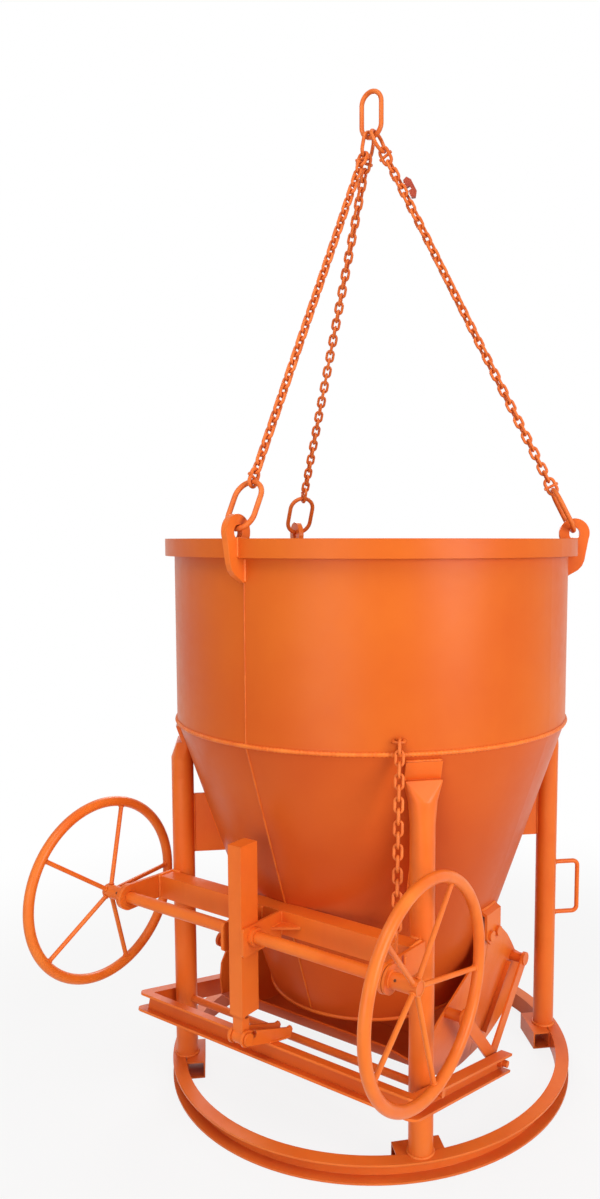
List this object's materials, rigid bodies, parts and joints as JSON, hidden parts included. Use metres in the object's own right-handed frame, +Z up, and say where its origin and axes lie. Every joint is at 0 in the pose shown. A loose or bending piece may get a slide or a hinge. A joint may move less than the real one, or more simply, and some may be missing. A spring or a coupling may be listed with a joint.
{
  "type": "concrete bucket",
  "caption": "Crane bucket for fresh concrete: drum over a cone on a legged base ring, clamshell gates worked by hand wheels through a rack and yoke, with a chain sling.",
  "frame": {"origin": "middle of the base ring, on the floor", "axes": "+Z up, X along the hand-wheel shaft, the rack side faces -Y"},
  "size_m": [1.1378, 1.3655, 2.705],
  "materials": {
    "paint": "worn orange paint",
    "chain_paint": "orange paint on chain",
    "claw_paint": "dark red paint",
    "steel": "dull oiled steel"
  },
  "bodies": {
    "frame": {"drum_shell": "paint", "cone_shell": "paint", "rim_band": "paint", "outlet_bead": "paint", "base_ring": "paint", "foot_boxes": "paint", "leg_front_left": "paint", "leg_front_right": "paint", "leg_rear_left": "paint", "leg_rear_right": "paint", "leg_gussets": "paint", "grab_handle": "paint", "upper_beam": "paint", "end_bracket_left": "paint", "end_bracket_right": "paint", "mid_brackets": "paint", "shaft_bushes": "paint", "rack_guide": "paint", "pivot_bracket_left": "paint", "pivot_bracket_right": "paint", "gate_pivot_bolts": "paint", "yoke_axle": "paint", "lifting_lugs": "paint", "chain_eye": "chain_paint", "safety_chain": "chain_paint", "safety_hook": "chain_paint", "sling_rings": "chain_paint", "sling_chain_front": "chain_paint", "sling_chain_left": "chain_paint", "sling_chain_right": "chain_paint", "sling_couplings": "chain_paint", "chain_shortener": "claw_paint", "sub_links": "chain_paint"},
    "hand_wheels": {"pinion_shaft": "paint", "wheel_rim_left": "paint", "wheel_rim_right": "paint", "wheel_spokes_left": "paint", "wheel_spokes_right": "paint", "wheel_hub_left": "paint", "wheel_hub_right": "paint", "hub_pins": "paint"},
    "rack": {"rack_bar": "steel", "rack_pin": "paint"},
    "yoke": {"yoke_channel": "paint", "yoke_lugs": "paint", "yoke_link_pins": "paint"},
    "front_gate": {"front_gate_shell": "paint", "front_gate_cheeks": "paint", "front_gate_pins": "paint"},
    "rear_gate": {"rear_gate_shell": "paint", "rear_gate_cheeks": "paint", "rear_gate_ribs": "paint", "rear_gate_pins": "paint"},
    "front_link_bars": {"front_links": "paint"},
    "rear_link_bars": {"rear_links": "paint"},
    "master": {"master_link": "chain_paint"}
  },
  "joints": [
    {"name": "wheel_turn", "type": "hinge", "parent": "frame", "child": "hand_wheels", "pos_m": [0, -0.546, 0.559], "axis": [1, 0, 0], "range_deg": [0, 312.5]},
    {"name": "rack_slide", "type": "slide", "parent": "frame", "child": "rack", "axis": [0, 0, -1], "range_m": [0, 0.0819]},
    {"name": "yoke_tilt", "type": "hinge", "parent": "frame", "child": "yoke", "pos_m": [0, -0.36212, 0.214], "axis": [1, 0, 0], "range_deg": [0, 24.01]},
    {"name": "front_gate_swing", "type": "hinge", "parent": "frame", "child": "front_gate", "pos_m": [0, -0.02, 0.46], "axis": [1, 0, 0], "range_deg": [-22.2, 0]},
    {"name": "rear_gate_swing", "type": "hinge", "parent": "frame", "child": "rear_gate", "pos_m": [0, 0.02, 0.46], "axis": [1, 0, 0], "range_deg": [0, 30.4]},
    {"name": "front_link_turn", "type": "hinge", "parent": "yoke", "child": "front_link_bars", "pos_m": [0, -0.01863, 0.12012], "axis": [1, 0, 0], "range_deg": [-2.9, 0]},
    {"name": "rear_link_turn", "type": "hinge", "parent": "yoke", "child": "rear_link_bars", "pos_m": [0, -0.01863, 0.12012], "axis": [1, 0, 0], "range_deg": [-36.3, 0]},
    {"name": "master_swing", "type": "hinge", "parent": "frame", "child": "master", "pos_m": [0, 0, 2.5815], "axis": [1, 0, 0], "range_deg": [-30, 30]}
  ],
  "couplings": [
    {"joint": "rack_slide", "follows": "wheel_turn", "m_per_rad": 0.015},
    {"joint": "yoke_tilt", "follows": "wheel_turn", "ratio": 0.0768},
    {"joint": "front_gate_swing", "follows": "wheel_turn", "ratio": -0.070963},
    {"joint": "rear_gate_swing", "follows": "wheel_turn", "ratio": 0.09706},
    {"joint": "front_link_turn", "follows": "wheel_turn", "ratio": -0.009139},
    {"joint": "rear_link_turn", "follows": "wheel_turn", "ratio": -0.11598}
  ]
}
